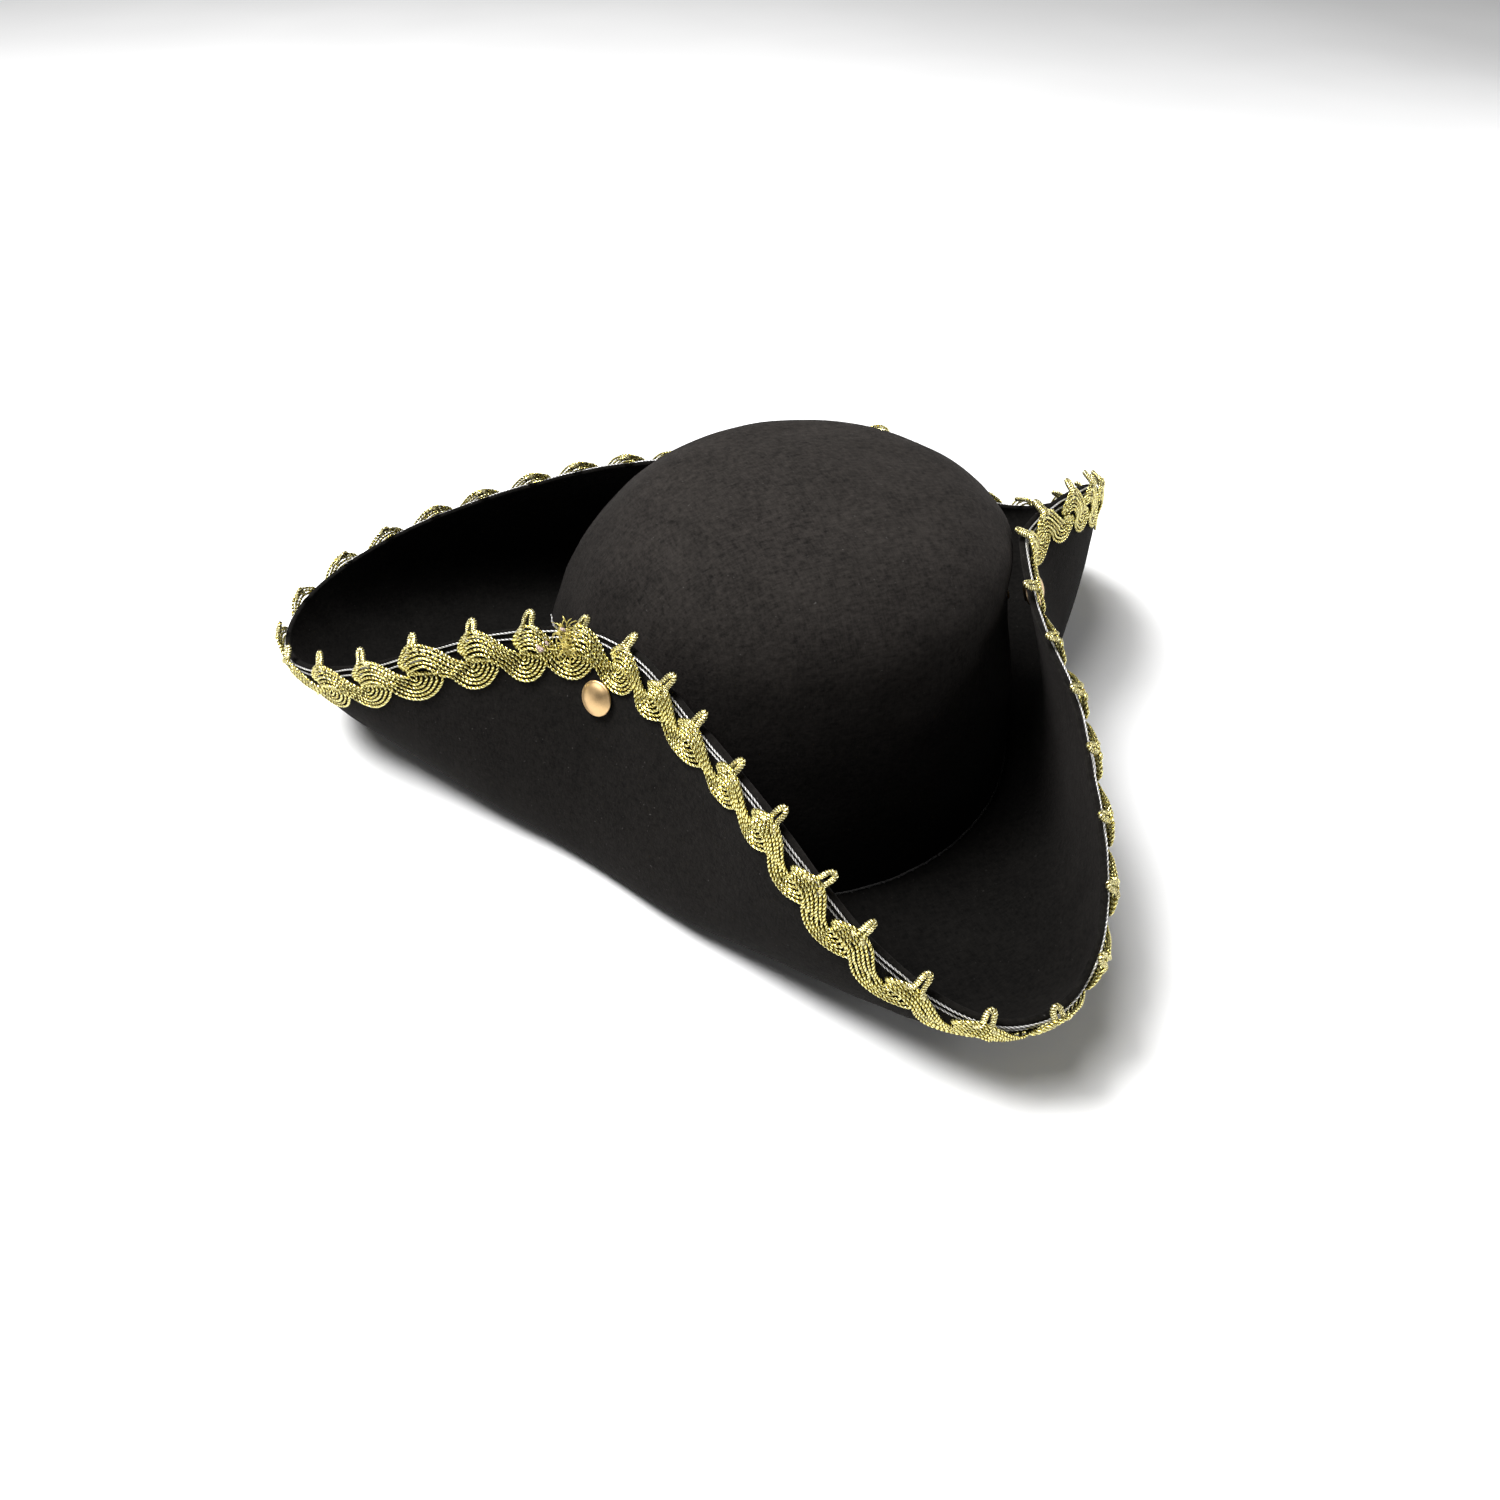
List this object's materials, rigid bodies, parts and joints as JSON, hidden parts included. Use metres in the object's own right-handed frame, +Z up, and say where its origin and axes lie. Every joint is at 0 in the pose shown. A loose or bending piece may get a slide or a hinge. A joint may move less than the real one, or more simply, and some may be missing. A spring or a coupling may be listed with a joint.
{
  "type": "pirate hat",
  "caption": "Black felt tricorn hat with a rounded crown, turned-up brim flaps on press studs, and gold cord braid with picot loops along the rim.",
  "frame": {"origin": "centre of the head opening, on the plane of the crown's lower edge", "axes": "+Z up through the crown, -Y towards the front corner, X across the hat"},
  "size_m": [0.3859, 0.3305, 0.124],
  "materials": {
    "felt_black": "matte, fine nap",
    "braid_gold": "metallic twisted cord",
    "picot_gold": "metallic twisted cord",
    "thread_silver": "glossy twisted thread",
    "snap_copper": "satin plated",
    "snap_nickel": "satin",
    "sweatband_black": "woven ribbon",
    "thread_black": "matte thread"
  },
  "bodies": {
    "root": {"braid_corner_front": "braid_gold", "braid_corner_left": "braid_gold", "braid_corner_right": "braid_gold", "brim_corner_front": "felt_black", "brim_corner_left": "felt_black", "brim_corner_right": "felt_black", "brim_ledge_back": "felt_black", "brim_ledge_left": "felt_black", "brim_ledge_right": "felt_black", "carrier_threads_corner_front": "thread_silver", "carrier_threads_corner_left": "thread_silver", "carrier_threads_corner_right": "thread_silver", "crown": "felt_black", "crown_seam_stitches": "thread_black", "picots_corner_front": "picot_gold", "picots_corner_left": "picot_gold", "picots_corner_right": "picot_gold", "post_shank_back": "snap_nickel", "post_shank_left": "snap_nickel", "post_shank_right": "snap_nickel", "snap_post_back": "snap_nickel", "snap_post_left": "snap_nickel", "snap_post_right": "snap_nickel", "snap_stud_back": "snap_nickel", "snap_stud_left": "snap_nickel", "snap_stud_right": "snap_nickel", "sweatband": "sweatband_black", "sweatband_stitches": "thread_black"},
    "flap_left": {"braid_flap_left": "braid_gold", "braid_join_tuft": "braid_gold", "brim_flap_left": "felt_black", "cap_shank_left": "snap_nickel", "carrier_threads_flap_left": "thread_silver", "picots_flap_left": "picot_gold", "snap_cap_left": "snap_copper", "snap_socket_left": "snap_nickel"},
    "flap_back": {"braid_flap_back": "braid_gold", "brim_flap_back": "felt_black", "cap_shank_back": "snap_nickel", "carrier_threads_flap_back": "thread_silver", "picots_flap_back": "picot_gold", "snap_cap_back": "snap_copper", "snap_socket_back": "snap_nickel"},
    "flap_right": {"braid_flap_right": "braid_gold", "brim_flap_right": "felt_black", "cap_shank_right": "snap_nickel", "carrier_threads_flap_right": "thread_silver", "picots_flap_right": "picot_gold", "snap_cap_right": "snap_copper", "snap_socket_right": "snap_nickel"}
  },
  "joints": [
    {"name": "flap_left_fold", "type": "hinge", "parent": "root", "child": "flap_left", "pos_m": [-0.09663, -0.05579, 0.00739], "axis": [0.5, -0.866, 0], "range_deg": [0, 75]},
    {"name": "flap_back_fold", "type": "hinge", "parent": "root", "child": "flap_back", "pos_m": [0, 0.11341, 0.0019], "axis": [-1, 0, 0], "range_deg": [0, 75]},
    {"name": "flap_right_fold", "type": "hinge", "parent": "root", "child": "flap_right", "pos_m": [0.09673, -0.05585, 0.00713], "axis": [0.5, 0.866, 0], "range_deg": [0, 75]}
  ]
}
